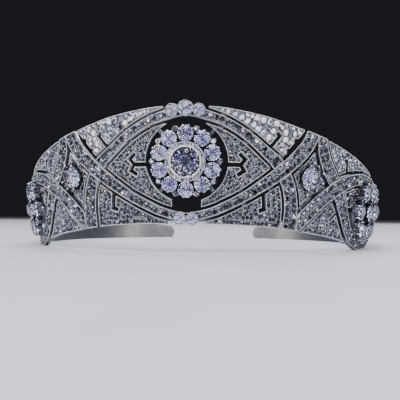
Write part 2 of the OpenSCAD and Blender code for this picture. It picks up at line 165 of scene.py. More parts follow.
def makeCutSilver():
    # the metal between pave stones, cut up with a graver: a darker grey as painted shade, lighter on the
    # facets and darkened in the cuts as painted shade
    material, tree, shader = newMaterial("rhodium_silver_graver_cut", {"Metallic": 1.0})
    place = addNode(tree, "ShaderNodeTexCoord").outputs["Object"]
    cells = addNode(tree, "ShaderNodeTexVoronoi", {"Scale": 1 / (graver["cutWidth"] * mm)}, {"Vector": place})
    cuts = cells.outputs["Distance"]
    # painted shade: the tint darkens towards each cut
    tint = addNode(tree, "ShaderNodeValToRGB", {"stops": [(0.1, graver["light"]), (0.75, graver["shade"])]},
                   {"Fac": cuts})
    low, high = graver["roughness"]
    roughness = addNode(tree, "ShaderNodeMapRange", {"To Min": low, "To Max": high}, {"Value": cuts})
    bump = addNode(tree, "ShaderNodeBump",
                   {"Strength": graver["strength"], "Distance": graver["depth"] * mm, "invert": True},
                   {"Height": cuts})
    tree.links.new(roughness.outputs["Result"], shader.inputs["Roughness"])
    tree.links.new(bump.outputs["Normal"], shader.inputs["Normal"])
    tree.links.new(paintShadeInRecesses(tree, tint.outputs["Color"]), shader.inputs["Base Color"])
    return material


# Stones: diamond, cut and polished, with flat bright facets

diamond = {"ior": 2.42, "gloss": "#7c7c7c"}
# painted fire: patches of orange, white and blue painted in for the stones' coloured glints
paintedFire = {"patch": 1.1, "stops": [(0.3, "#ffeadb"), (0.42, "#ffffff"), (0.57, "#fbfbff"), (0.66, "#c4ccff"),
                                (0.74, "#b4e8f0")]}
# painted reflections and glints: what a facet throws back, from its darkest tone to its lightest
paintedFacetColours = {
    # small stones: painted glints and dark painted reflections side by side
    "diamond_single_cut": [(0.0, "#050508"), (0.4, "#2b2d38"), (0.75, "#8a8ea6"), (1.0, "#ffffff")],
    # large stones above the girdle: clear, so that the facets below show through
    "diamond_brilliant_crown": [(0.0, "#dde0fa"), (1.0, "#fdfdff")],
    # large stones below the girdle: painted reflections in violet, blue and white
    "diamond_brilliant_pavilion": [(0.0, "#1a1730"), (0.3, "#9592bf"), (0.6, "#dadcf2"), (1.0, "#ffffff")],
}


def newStone(name, shaderSettings):
    material, tree, shader = newMaterial(name, shaderSettings)
    # each facet's painted light, from dark reflection to glint
    tone = addNode(tree, "ShaderNodeAttribute", {"attribute_name": "tone"}).outputs["Fac"]
    colour = addNode(tree, "ShaderNodeValToRGB", {"stops": paintedFacetColours[name]}, {"Fac": tone}).outputs["Color"]
    return material, tree, shader, colour


def makeStone(name, roughness, clear):
    # the surface gloss is kept low, so that the pale floor doesn't veil the facets
    material, tree, shader, colour = newStone(name, {
        "IOR": diamond["ior"], "Roughness": roughness, "Transmission Weight": clear,
        "Specular Tint": hexColour(diamond["gloss"])})
    place = addNode(tree, "ShaderNodeTexCoord").outputs["Object"]
    patches = addNode(tree, "ShaderNodeTexNoise", {"Scale": 1 / (paintedFire["patch"] * mm), "Detail": 1.0},
                      {"Vector": place})
    # the facets' painted reflections, tinted by the painted fire
    tree.links.new(multiplyByRamp(tree, colour, patches.outputs["Fac"], paintedFire["stops"]),
                   shader.inputs["Base Color"])
    return material


def makePavilion(name, roughness):
    # total reflection inside the stone makes mirrors of the facets below the girdle; their colours are
    # painted reflections
    material, tree, shader, colour = newStone(name, {"Metallic": 1.0, "Roughness": roughness})
    tree.links.new(colour, shader.inputs["Base Color"])
    return material


brightMetal = makeSilver("rhodium_silver_polished")
milgrainMetal = makeSilver("rhodium_silver_milgrain")
satinMetal = makeSilver("rhodium_silver_satin")
settingMetal = makeSilver("rhodium_silver_setting", withPaintedShade=True)
cutMetal = makeCutSilver()
smallStone = makeStone("diamond_single_cut", 0.05, 0.0)
crownStone = makeStone("diamond_brilliant_crown", 0.0, 1.0)
pavilionStone = makePavilion("diamond_brilliant_pavilion", 0.12)
print("materials made")


# The wall, unrolled and rolled up again

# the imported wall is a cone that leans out, in mm; it is unrolled at flatRadius
wall = {"footRadius": 70.6, "flare": math.radians(8), "axisY": 6.59, "flatRadius": 73.97}
# how straight a front or back face looks out, and how near its rise it lies, in mm
faceTest = {"merge": 0.002, "front": 0.93, "riseRoom": 0.08, "back": -0.5}


def faceRadius(height):
    return wall["footRadius"] + height * math.tan(wall["flare"])


def flatten(points):
    # arc length, height and rise above the paved face, in mm, of points in metres
    x, y, z = np.asarray(points, float).T / mm
    y = y - wall["axisY"]
    rise = np.hypot(x, y) - faceRadius(z)
    return np.column_stack([np.arctan2(x, -y) * wall["flatRadius"], z, rise])


def wallNormals(flat):
    angle = flat[:, 0] / wall["flatRadius"]
    lean = wall["flare"]
    return np.column_stack([np.sin(angle) * math.cos(lean), -np.cos(angle) * math.cos(lean),
                            np.full(len(angle), -math.sin(lean))])


def outwardness(normals, centres):
    # 1 for a face that looks straight out from the wall, -1 for one that looks straight in
    return (np.array(normals) * wallNormals(centres)).sum(1)


def standAt(arc, height, rise):
    # a frame on the wall with its Z along the outward normal and its Y up the wall, in metres
    angle = arc / wall["flatRadius"]
    radius = faceRadius(height) + rise
    place = Vector((math.sin(angle) * radius, wall["axisY"] - math.cos(angle) * radius, height)) * mm
    turn = Matrix.Rotation(angle, 4, "Z") @ Matrix.Rotation(math.pi / 2 + wall["flare"], 4, "X")
    return Matrix.Translation(place) @ turn


def standAtAngle(degrees, height, rise):
    return standAt(math.radians(degrees) * wall["flatRadius"], height, rise)


def sized(place, size):
    return place @ Matrix.Diagonal((size, size, size, 1))


def turned(place, degrees, out, rise=0.0):
    # a frame turned round a setting's middle and moved out from it, with its X pointing away
    return (place @ Matrix.Rotation(math.radians(degrees), 4, "Z")
            @ Matrix.Translation((out * mm, 0, rise * mm)))


def frontLoops(node, rise):
    # outlines of a node's front faces at one rise, flattened, with the metal on their left
    work = bmesh.new()
    work.from_mesh(nodes[node].data)
    bmesh.ops.remove_doubles(work, verts=work.verts, dist=faceTest["merge"] * mm)
    work.verts.index_update()
    work.faces.index_update()
    faces = list(work.faces)
    centres = flatten([face.calc_center_median() for face in faces])
    isFront = outwardness([face.normal for face in faces], centres) > faceTest["front"]
    isFront &= np.abs(centres[:, 2] - rise) < faceTest["riseRoom"]
    places = flatten([vert.co for vert in work.verts])[:, :2]
    following = {}
    for face, shown in zip(faces, isFront):
        if not shown:
            continue
        for loop in face.loops:
            if sum(isFront[other.index] for other in loop.edge.link_faces) == 1:
                following.setdefault(loop.vert.index, []).append(loop.link_loop_next.vert.index)
    work.free()
    loops = []
    while following:
        start = next(iter(following))
        chain, here = [start], start
        while here in following:
            ahead = following[here].pop()
            if not following[here]:
                del following[here]
            here = ahead
            if here == start:
                break
            chain.append(here)
        if len(chain) > 2:
            loops.append(places[chain])
    return loops


class Border:
    # points spaced along the outlines, each with its inward direction, and a tree to find the nearest
    step = 0.05  # mm
    shortest = 1e-6

    def __init__(self, loops):
        self.runs = [self.walk(loop) for loop in loops]
        count = sum(len(run) for run in self.runs)
        self.tree = KDTree(max(count, 1))
        self.inwards = []
        for run in self.runs:
            for point, inward in run:
                self.tree.insert((point[0], point[1], 0), len(self.inwards))
                self.inwards.append(inward)
        self.tree.balance()

    def walk(self, loop):
        run = []
        for start, end in zip(loop, np.roll(loop, -1, axis=0)):
            length = np.linalg.norm(end - start)
            if length < self.shortest:
                continue
            inward = np.array([start[1] - end[1], end[0] - start[0]]) / length
            for k in range(max(1, round(length / self.step))):
                point = start + (end - start) * (k * self.step / length if length > self.step else 0)
                run.append((point, inward))
        return run

    def distance(self, point):
        return self.tree.find((point[0], point[1], 0))[2]

    def holds(self, point, margin):
        near, index, distance = self.tree.find((point[0], point[1], 0))
        side = (point[0] - near[0]) * self.inwards[index][0] + (point[1] - near[1]) * self.inwards[index][1]
        return distance > margin and side > 0


class Spots:
    # round spots in the flattened wall that keep their distance from each other
    cell = 1.5  # mm

    def __init__(self):
        self.cells = {}
        self.spots = []

    def cellOf(self, point):
        return int(point[0] // self.cell), int(point[1] // self.cell)

    def isFree(self, point, radius, between):
        column, row = self.cellOf(point)
        for i in range(column - 2, column + 3):
            for k in range(row - 2, row + 3):
                for other in self.cells.get((i, k), ()):
                    reach = radius + other[2] + between
                    if (other[0] - point[0]) ** 2 + (other[1] - point[1]) ** 2 < reach * reach:
                        return False
        return True

    def add(self, point, radius):
        spot = (float(point[0]), float(point[1]), radius)
        self.spots.append(spot)
        self.cells.setdefault(self.cellOf(spot), []).append(spot)


# Small shapes that are modelled once and copied

girdleRadius = 0.5  # stones are cut one unit across


def startShape():
    # an operator acts on all that is selected, so nothing is when a shape is started
    if bpy.context.object and bpy.context.object.mode != "OBJECT":
        bpy.ops.object.mode_set(mode="OBJECT")
    bpy.ops.object.select_all(action="DESELECT")


def startEditing(name):
    obj = bpy.context.object
    obj.name = name
    bpy.ops.object.mode_set(mode="EDIT")
    bpy.ops.mesh.select_all(action="SELECT")
    return obj


def takeShape(obj):
    # corners and faces of a finished shape, with its place applied, which itself leaves the scene
    bpy.ops.object.mode_set(mode="OBJECT")
    bpy.ops.object.transform_apply(location=True, rotation=False, scale=False)
    mesh = obj.data
    corners = np.array([vert.co for vert in mesh.vertices])
    faces = [list(face.vertices) for face in mesh.polygons]
    bpy.data.objects.remove(obj)
    bpy.data.meshes.remove(mesh)
    return corners, faces


def bisectAt(point, normal):
    bpy.ops.mesh.select_all(action="SELECT")
    bpy.ops.mesh.bisect(plane_co=point, plane_no=normal, use_fill=True, clear_outer=True, threshold=1e-5)


def pointAt(angle, radius, height):
    return Vector((math.cos(angle) * radius, math.sin(angle) * radius, height))


def planeThrough(a, b, c):
    normal = (b - a).cross(c - a).normalized()
    return a, normal if normal.dot(a) > 0 else -normal


# a round brilliant, as shares of its diameter and angles in degrees
cut = {"table": 0.56, "crownAngle": 34.5, "starAngle": 21, "pavilionAngle": 41, "girdle": 0.03,
       "lowerShare": 0.78, "upperDip": 0.012, "lowerDip": 0.008, "mains": 8, "roughSides": 32,
       "roughDepth": 1.2}


def cutBrilliant():
    # a rough cut by the planes of a round brilliant, with its girdle at height 0
    startShape()
    bpy.ops.mesh.primitive_cylinder_add(vertices=cut["roughSides"], radius=girdleRadius,
                                        depth=cut["roughDepth"], location=(0, 0, 0))
    obj = startEditing("brilliant")
    crown = math.radians(cut["crownAngle"])
    star = math.radians(cut["starAngle"])
    pavilion = math.radians(cut["pavilionAngle"])
    half = cut["girdle"] / 2
    tableR = cut["table"] * girdleRadius
    tableZ = half + (girdleRadius - tableR) * math.tan(crown)
    eighth = math.tau / cut["mains"]
    sixteenth = eighth / 2
    bisectAt((0, 0, tableZ), (0, 0, 1))
    # where a star's lower tip meets two of the crown's main facets
    starR = tableR * math.cos(sixteenth)
    mainSlope = math.tan(crown) * math.cos(sixteenth)
    starSlope = math.tan(star)
    crownRise = girdleRadius * math.tan(crown)
    tipR = (tableZ + starR * starSlope - half - crownRise) / (starSlope - mainSlope)
    tipZ = tableZ - (tipR - starR) * starSlope
    # where the halves between two long facets of the pavilion meet
    ridgeR = girdleRadius * (1 - cut["lowerShare"])
    ridgeZ = -half - girdleRadius * math.tan(pavilion) + ridgeR * math.tan(pavilion) * math.cos(sixteenth)
    edge = girdleRadius / math.cos(sixteenth / 2)
    for i in range(cut["mains"]):
        angle = i * eighth
        bisectAt(pointAt(angle, girdleRadius, half), pointAt(angle, math.sin(crown), math.cos(crown)))
        bisectAt(pointAt(angle, girdleRadius, -half), pointAt(angle, math.sin(pavilion), -math.cos(pavilion)))
    for i in range(cut["mains"]):
        angle = i * eighth + sixteenth
        bisectAt(pointAt(angle, starR, tableZ), pointAt(angle, math.sin(star), math.cos(star)))
        tip = pointAt(angle, tipR, tipZ)
        ridge = pointAt(angle, ridgeR, ridgeZ)
        upper = pointAt(angle, edge, half + cut["upperDip"])
        lower = pointAt(angle, edge, -half - cut["lowerDip"])
        for side in (-1, 1):
            beside = angle + side * sixteenth
            bisectAt(*planeThrough(tip, upper, pointAt(beside, girdleRadius, half)))
            bisectAt(*planeThrough(ridge, lower, pointAt(beside, girdleRadius, -half)))
    return takeShape(obj)


smallCut = {"sides": 8, "roughDepth": 0.9, "tableHeight": 0.14, "crownAngle": 36, "pavilionAngle": 41}


def cutSingle():
    # a small stone's single cut: table, eight crown and eight pavilion facets
    startShape()
    bpy.ops.mesh.primitive_cylinder_add(vertices=smallCut["sides"], radius=girdleRadius,
                                        depth=smallCut["roughDepth"], location=(0, 0, 0))
    obj = startEditing("singleCut")
    bisectAt((0, 0, smallCut["tableHeight"]), (0, 0, 1))
    across = girdleRadius * math.cos(math.pi / smallCut["sides"])
    for i in range(smallCut["sides"]):
        angle = (i + 0.5) * math.tau / smallCut["sides"]
        for tilt, side in ((smallCut["crownAngle"], 1), (smallCut["pavilionAngle"], -1)):
            slope = math.radians(tilt)
            bisectAt(pointAt(angle, across, 0), pointAt(angle, math.sin(slope), side * math.cos(slope)))
    return takeShape(obj)


beadShapes = {"bead": {"rounding": 1, "press": 0.9}, "clawTip": {"rounding": 2, "press": 0.85}}


def shapeBead(name):
    # a bead of metal, one unit in radius, pressed a little flat by the tool that raised it
    startShape()
    bpy.ops.mesh.primitive_ico_sphere_add(subdivisions=beadShapes[name]["rounding"], radius=1,
                                          location=(0, 0, 0))
    obj = startEditing(name)
    bpy.ops.transform.resize(value=(1, 1, beadShapes[name]["press"]))
    return takeShape(obj)


# the bend's steps: how far the wire rises, how far it leans in, and what it narrows to
claw = {"radius": 0.27, "height": 1.7, "narrowing": 0.95, "stand": 0.05, "sides": 8,
        "bend": ((0.22, 0.06, 0.95), (0.16, 0.14, 0.9), (0.08, 0.14, 0.6))}


def shapeClaw():
    # a drawn wire that narrows as it rises and bends over the stone, towards -X, in mm
    startShape()
    bpy.ops.mesh.primitive_circle_add(vertices=claw["sides"], radius=claw["radius"], fill_type="NGON",
                                      location=(0, 0, -claw["height"]))
    obj = startEditing("claw")
    for rise, inward, narrowing in ((claw["height"], 0, claw["narrowing"]), *claw["bend"]):
        bpy.ops.mesh.extrude_region_move(TRANSFORM_OT_translate={"value": (-inward, 0, rise)})
        bpy.ops.transform.resize(value=(narrowing, narrowing, 1))
    bpy.ops.mesh.select_all(action="SELECT")
    bpy.ops.mesh.normals_make_consistent(inside=False)
    return takeShape(obj)


# radius and height of each corner, from the outer foot over the rim and down to the stone
collar = {"profile": ((5.15, 2.95), (5.15, 3.3), (5.0, 3.38), (4.3, 3.08), (4.3, 2.9)), "sides": 72,
          "merge": 1e-4}


def shapeCollar():
    # the polished collar that leads down to the brooch's middle stone, turned from a ring, in mm
    startShape()
    radius, height = collar["profile"][0]
    bpy.ops.mesh.primitive_circle_add(vertices=collar["sides"], radius=radius, location=(0, 0, height))
    obj = startEditing("collar")
    for nextRadius, nextHeight in collar["profile"][1:] + collar["profile"][:1]:
        bpy.ops.mesh.extrude_region_move(TRANSFORM_OT_translate={"value": (0, 0, nextHeight - height)})
        bpy.ops.transform.resize(value=(nextRadius / radius, nextRadius / radius, 1))
        radius, height = nextRadius, nextHeight
    bpy.ops.mesh.select_all(action="SELECT")
    bpy.ops.mesh.remove_doubles(threshold=collar["merge"])
    bpy.ops.mesh.normals_make_consistent(inside=False)
    return takeShape(obj)


brilliant = cutBrilliant()
singleCut = cutSingle()
bead = shapeBead("bead")
clawTip = shapeBead("clawTip")
clawShape = shapeClaw()
collarShape = shapeCollar()
print("brilliant facets", len(brilliant[1]), "single cut facets", len(singleCut[1]))


# Copies of the shapes, joined into pieces

def joinCopies(name, shape, places, material, smooth=False, paintedLights=None, under=None):
    # one mesh of a shape's copies, each at its own frame, with a painted light value on every facet of a
    # stone
    corners, faces = shape
    spread = np.column_stack([corners, np.ones(len(corners))])
    allCorners = np.concatenate([(np.array(place) @ spread.T).T[:, :3] for place in places])
    allFaces = [[corner + i * len(corners) for corner in face] for i in range(len(places)) for face in faces]
    mesh = bpy.data.meshes.new(name)
    mesh.from_pydata(allCorners.tolist(), [], allFaces)
    mesh.polygons.foreach_set("use_smooth", [smooth] * len(allFaces))
    if paintedLights:
        layer = mesh.attributes.new("tone", "FLOAT", "FACE")
        layer.data.foreach_set("value", [paintedLights(i, k) for i in range(len(places)) for k in range(len(faces))])
    mesh.materials.append(material)
    if under:
        # a second finish for the facets below the girdle
        mesh.materials.append(under)
        isUnder = [int(corners[face].mean(0)[2] < -cut["girdle"]) for face in faces]
        mesh.polygons.foreach_set("material_index", isUnder * len(places))
    obj = bpy.data.objects.new(name, mesh)
    bpy.context.scene.collection.objects.link(obj)
    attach(obj, "root")
    return obj


# painted light of a stone: its lightness, the facets painted as glints or dark reflections, and how far each
# facet strays
paintedSparkle = {"span": (0.3, 0.68), "flashes": (0, 0, 0, 0, 0.5, -0.4, -0.3), "stray": 0.1}


def paintedStoneLight(generator, span):
    own = {}

    def tone(i, k):
        if i not in own:
            own[i] = generator.uniform(*span)
        flash = generator.choice(paintedSparkle["flashes"])
        return min(1, max(0, own[i] + flash + generator.gauss(0, paintedSparkle["stray"])))

    return tone


def addStones(name, places, generator, span):
    obj = joinCopies(name, singleCut, places, smallStone, paintedLights=paintedStoneLight(generator, span))


def addMetal(name, shape, places, metal):
    obj = joinCopies(name, shape, places, metal, smooth=True)


# Pave and milgrain

# rises of the paved faces, diameters of their stones from the largest down, and their painted light, lighter
# on the upper plates and darker on the lower ones, as light from above falls;
# collets are angle, height and diameter of stones with a rim of their own
pave = {
    "front_ribbons": {"rises": (0.45, 0.85), "sizes": (1.75, 1.2, 0.85), "paintedLights": (0.1, 0.6)},
    "side_ribbons": {"rises": (0.45, 0.85), "sizes": (1.75, 1.2, 0.85)},
    "infill_plate": {"rises": (0,), "sizes": (1.0,), "paintedLights": (0.05, 0.5)},
    "spandrel": {"rises": (0,), "sizes": (2.1, 1.4, 0.9), "paintedLights": (0.8, 1.2)},
    "lower_plate": {"rises": (0,), "sizes": (1.25, 0.85), "paintedLights": (0.05, 0.45)},
    "upper_triangle": {"rises": (0,), "sizes": (1.5, 1.0), "paintedLights": (0.55, 0.95)},
    "lower_triangle": {"rises": (0,), "sizes": (1.35, 0.9), "collets": ((36.0, 10.9, 2.1), (41.2, 9.6, 1.6))},
    "oval_plate": {"rises": (0,), "sizes": (1.35, 0.9)},
    "oval_tip": {"rises": (0,), "sizes": (1.2, 0.85)},
    "lozenge": {"rises": (0,), "sizes": (1.0, 0.75)},
}
# how the stones are bedded: rows step in by a share of their stones' diameter
bedding = {"edge": 0.34, "between": 0.05, "rowStep": 0.45, "slack": 0.04, "emptyRows": 2,
           "girdleRise": 0.03, "tilt": math.radians(8), "lozengeRoom": 4.9}


def layRows(border, spots, diameter, allowed):
    # rows of stones along the outlines, one inside the other, until no row has room
    offset = bedding["edge"] + diameter / 2
    misses = 0
    while misses < bedding["emptyRows"]:
        laid = 0
        for run in border.runs:
            for point, inward in run:
                spot = point + inward * offset
                if not spots.isFree(spot, diameter / 2, bedding["between"]):
                    continue
                if border.distance(spot) < offset - bedding["slack"]:
                    continue
                if allowed and not allowed(spot):
                    continue
                spots.add(spot, diameter / 2)
                laid += 1
        misses = 0 if laid else misses + 1
        offset += diameter * bedding["rowStep"]


grain = {"low": 0.12, "high": 0.24, "over": 0.06, "tightest": -0.04, "widest": 0.7, "rise": 0.02,
         "merge": 1e-4}


def layGrains(spots, border):
    # small beads of metal raised in the hollows between three stones
    if len(spots.spots) < 3:
        return []
    middles = [Vector(spot[:2]) for spot in spots.spots]
    triangles = delaunay_2d_cdt(middles, [], [], 0, grain["merge"])[2]
    grains = []
    for triangle in triangles:
        trio = [spots.spots[i] for i in triangle if i < len(spots.spots)]
        if len(trio) < 3:
            continue
        middle = [sum(stone[axis] for stone in trio) / 3 for axis in (0, 1)]
        room = min(math.dist(stone[:2], middle) - stone[2] for stone in trio)
        if not grain["tightest"] <= room <= grain["widest"] or not border.holds(middle, bedding["edge"]):
            continue
        grains.append((*middle, min(grain["high"], max(grain["low"], room + grain["over"]))))
    return grains


milgrain = {"radius": 0.14, "between": 0.02, "inset": 0.145, "slack": 0.03, "rise": 0.04}
# one point of the wire for every so many of the border's, and none across a jump
wire = {"radius": 0.1, "every": 9, "jump": 1.5}


def layMilgrain(border, rise):
    # beads side by side along the outlines, and the points of the wire beneath them
    beads = Spots()
    rows = []
    for run in border.runs:
        row = []
        for k, (point, inward) in enumerate(run):
            spot = point + inward * milgrain["inset"]
            if border.distance(spot) < milgrain["inset"] - milgrain["slack"]:
                continue
            if beads.isFree(spot, milgrain["radius"], milgrain["between"]):
                beads.add(spot, milgrain["radius"])
            if k % wire["every"] == 0:
                place = standAt(spot[0], spot[1], rise).translation
                if row and (place - row[-1]).length > wire["jump"] * mm:
                    rows.append(row)
                    row = []
                row.append(place)
        rows.append(row)
    laid = [(*spot, rise + milgrain["rise"]) for spot in beads.spots]
    return laid, [row for row in rows if len(row) > 2]


def layWires(name, rows):
    # the fine wall that milgrain is rolled on: one round wire along each outline, made a mesh
    curve = bpy.data.curves.new(name, "CURVE")
    curve.dimensions = "3D"
    curve.bevel_depth = wire["radius"] * mm
    curve.bevel_resolution = 0
    for row in rows:
        spline = curve.splines.new("POLY")
        spline.points.add(len(row) - 1)
        for point, place in zip(spline.points, row):
            point.co = (*place, 1)
        spline.use_cyclic_u = (row[0] - row[-1]).length < wire["jump"] * mm
    edge = bpy.data.objects.new(name, curve)
    bpy.context.scene.collection.objects.link(edge)
    startShape()
    edge.select_set(True)
    bpy.context.view_layer.objects.active = edge
    bpy.ops.object.convert(target="MESH")
    edge.data.materials.append(milgrainMetal)
    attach(edge, "root")


colletWire = {"sides": 24, "rises": (0.22, 0.22 / 3)}


def layCollet(spot, size, rise):
    # two rings of wire round a small stone that has a collet of its own
    turns = np.linspace(0, math.tau, colletWire["sides"], endpoint=False)
    rim = [(math.cos(turn) * size / 2 + spot[0], math.sin(turn) * size / 2 + spot[1]) for turn in turns]
    return [[standAt(*point, rise + up).translation for point in rim] for up in colletWire["rises"]]


def bedStone(generator, arc, height, radius, rise):
    # a stone's frame, turned and tilted a little as a hand sets it
    place = standAt(arc, height, rise + bedding["girdleRise"])
    place = place @ Matrix.Rotation(generator.gauss(0, bedding["tilt"]), 4, "X")
    place = place @ Matrix.Rotation(generator.gauss(0, bedding["tilt"]), 4, "Y")
    place = place @ Matrix.Rotation(generator.uniform(0, math.tau), 4, "Z")
    return sized(place, 2 * radius * mm)


def bedBead(arc, height, radius, rise):
    return sized(standAt(arc, height, rise), radius * mm)


def paveNode(node, settings, generator, allowed):
    stones, grains, beads, wires = [], [], [], []
    for rise in settings["rises"]:
        loops = frontLoops(node, rise)
        if not loops:
            continue
        border = Border(loops)
        laid, rows = layMilgrain(border, rise)
        beads += laid
        wires += rows
        spots = Spots()
        for angle, height, size in settings.get("collets", ()):
            side = -1 if node.endswith("_left") else 1
            spot = (side * math.radians(angle) * wall["flatRadius"], height)
            if border.holds(spot, size / 2):
                spots.add(spot, size / 2)
                wires += layCollet(spot, size, rise)
        for size in settings["sizes"]:
            layRows(border, spots, size, allowed)
        stones += [(*spot, rise) for spot in spots.spots]
        grains += [(*spot, rise + grain["rise"]) for spot in layGrains(spots, border)]
    if stones:
        addStones(node + "_pave", [bedStone(generator, *stone) for stone in stones], generator,
                  settings.get("paintedLights", paintedSparkle["span"]))
    if grains:
        addMetal(node + "_grains", bead, [bedBead(*spot) for spot in grains], brightMetal)
    if beads:
        addMetal(node + "_milgrain", bead, [bedBead(*spot) for spot in beads], milgrainMetal)
        layWires(node + "_edge", wires)
    return len(stones), len(grains), len(beads)


def besideLozengeStone(node):
    # keeps pave out from under the lozenge's large stone
    low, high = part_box(node.replace("lozenge", "lozenge_stone"))
    middle = flatten([(low + high) / 2])[0]
    return lambda spot: math.hypot(spot[0] - middle[0], spot[1] - middle[1]) > bedding["lozengeRoom"]


for number, (name, settings) in enumerate(pave.items()):
    for node in ([name] if name in nodes else [name + "_left", name + "_right"]):
        generator = random.Random(seeds["pave"] + number)
        allowed = besideLozengeStone(node) if name == "lozenge" else None
        print("pave", node, paveNode(node, settings, generator, allowed))


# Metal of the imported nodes

def metalOf(name):
    if "setting" in name or "collets" in name:
        return settingMetal
    if name.startswith("back_section"):
        return satinMetal
    if name.startswith(tuple(pave)) and "stone" not in name:
        return cutMetal
    return brightMetal


for name, obj in nodes.items():
    metal = metalOf(name)
    mesh = obj.data
    mesh.materials.clear()
    mesh.materials.append(metal)
    mesh.polygons.foreach_set("use_smooth", [False] * len(mesh.polygons))
    if metal == cutMetal:
        # the backs of the plates are plain and polished
        mesh.materials.append(brightMetal)
        centres = flatten([face.center for face in mesh.polygons])
        isBack = outwardness([face.normal for face in mesh.polygons], centres) < faceTest["back"]
        mesh.polygons.foreach_set("material_index", isBack.astype(int))
print("packed metal finished")


# Large stones

# painted reflections: tones of the crown, of the eight long facets below the girdle and of the halves beside
# them in turn, and how far they stray
paintedFacetLight = {"brooch": ((0.8, 0.15, 1.0, 0.4), 0.12), "petal": ((0.9, 0.35, 1.0, 0.65), 0.25),
              "lozenge": ((1.0, 0.75, 1.0, 0.95), 0.3), "cluster": ((1.0, 0.6, 1.0, 0.85), 0.25),
              "top": ((0.9, 0.4, 1.0, 0.75), 0.25), "bottom": ((0.9, 0.4, 1.0, 0.75), 0.25)}
girdleShare = 0.99  # of the widest corner's distance: corners past it lie on the girdle
longFacetReach = 0.1  # of an eighth of a turn, to either side of the facet's middle


def stoneFrame(node, generator):
    # middle of the girdle, axis and diameter of a packed stone, from its own mesh
    corners = np.unique(np.round([vert.co[:] for vert in nodes[node].data.vertices], 7), axis=0)
    centre = corners.mean(0)
    axis = np.linalg.svd(corners - centre)[2][2]
    if outwardness([axis], flatten([centre]))[0] < 0:
        axis = -axis
    along = (corners - centre) @ axis
    outward = np.linalg.norm((corners - centre) - np.outer(along, axis), axis=1)
    wide = outward > girdleShare * outward.max()
    turn = Vector(axis).to_track_quat("Z", "Y").to_matrix().to_4x4()
    spin = Matrix.Rotation(generator.uniform(0, math.tau / cut["mains"]), 4, "Z")
    return Matrix.Translation(Vector(corners[wide].mean(0))) @ turn @ spin, 2 * outward[wide].mean()


def facetKind(face):
    # 0 for a facet above the girdle, 1 for a long one below it, 2 and 3 in turn between those
    middle = brilliant[0][face].mean(0)
    sixteenths = math.atan2(middle[1], middle[0]) / math.tau * 2 * cut["mains"]
    if middle[2] > -cut["girdle"]:
        return 0
    if abs(sixteenths / 2 - round(sixteenths / 2)) < longFacetReach:
        return 1
    return 2 + math.floor(sixteenths) % 2


kinds = [facetKind(face) for face in brilliant[1]]


def paintedBrilliantLight(generator, paintedLights, stray):
    return lambda i, k: min(1, max(0, paintedLights[kinds[k]] + generator.gauss(0, stray)))


stoneNodes = sorted(name for name in nodes if "stone" in name)
stoneFrames = {}
for number, name in enumerate(stoneNodes):
    generator = random.Random(seeds["largeStones"] + number)
    place, diameter = stoneFrame(name, generator)
    stoneFrames[name] = place, diameter
    paintedLights = paintedBrilliantLight(generator, *paintedFacetLight[name.split("_")[0]])
    obj = joinCopies(name + "_cut", brilliant, [sized(place, diameter)], crownStone, paintedLights=paintedLights,
                     under=pavilionStone)
    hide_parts(name)
print("large stones", len(stoneNodes))


# Prongs, small stones and rims of the settings, which repeat round the brooch and the clusters

# places on the wall in degrees and mm, rings and rises in mm, and turns in degrees
# the accents' tones are the range of their facets' painted light
brooch = {"at": (0.0, 29.9), "count": 10, "ring": 8.95, "rise": 1.9, "stone": 5.1, "first": 90,
          "prongs": (-58, -20, 20, 58, 142, 218), "middleRise": 3.4,
          "accentRing": 10.85, "accentStone": 1.55, "accentRise": 1.95, "accentPaintedLights": (0.5, 0.9)}
cluster = {"at": (60.2, 14.8), "count": 6, "ring": 8.1, "rise": 2.65, "stone": 6.8, "first": 0,
           "prongs": (-40, 40, 130, 230), "middleRise": 3.3, "middleStone": 6.4,
           "middleProngs": (30, 90, 150, 210, 270, 330),
           "accentRing": 9.6, "accentStone": 2.05, "accentRise": 2.7, "accentPaintedLights": (0.5, 0.9)}
accentProngs = {"turns": (-75, 0, 75), "scale": 0.55}
beadPitch = 2.1  # in radii of the bead


def prongPlaces(place, diameter, angles, scale=1.0):
    reach = diameter / 2 + claw["stand"] * scale
    return [sized(turned(place, angle, reach), mm * scale) for angle in angles]


def ringOfBeads(place, ring, rise, radius):
    count = int(math.tau * ring / (beadPitch * radius))
    return [sized(turned(place, i * 360 / count, ring, rise), radius * mm) for i in range(count)]


def finishSetting(name, angle, plan, generator):
    # claws of the stones round a middle, and an accent stone with three small claws after each
    middle = standAtAngle(angle, plan["at"][1], 0)
    prongs, accents = [], []
    for i in range(plan["count"]):
        turn = plan["first"] + i * 360 / plan["count"]
        prongs += prongPlaces(turned(middle, turn, plan["ring"], plan["rise"]), plan["stone"], plan["prongs"])
        between = turned(middle, turn + 180 / plan["count"], plan["accentRing"], plan["accentRise"])
        accents.append(sized(between, plan["accentStone"] * mm))
        prongs += prongPlaces(between, plan["accentStone"], accentProngs["turns"], accentProngs["scale"])
    addStones(name + "_accents", accents, generator, plan["accentPaintedLights"])
    return middle, prongs


def finishCluster(side, angle, generator):
    middle, prongs = finishSetting("cluster_" + side, angle, cluster, generator)
    prongs += prongPlaces(turned(middle, 0, 0, cluster["middleRise"]), cluster["middleStone"],
                          cluster["middleProngs"])
    addMetal("cluster_" + side + "_prongs", clawShape, prongs, brightMetal)


# the halo's tones are the range of its stones' painted facet light
halo = {"ring": 5.76, "count": 40, "stone": 0.84, "rise": 3.14, "paintedLights": (0.6, 0.9), "rims": (5.22, 6.3),
        "bead": 0.19}


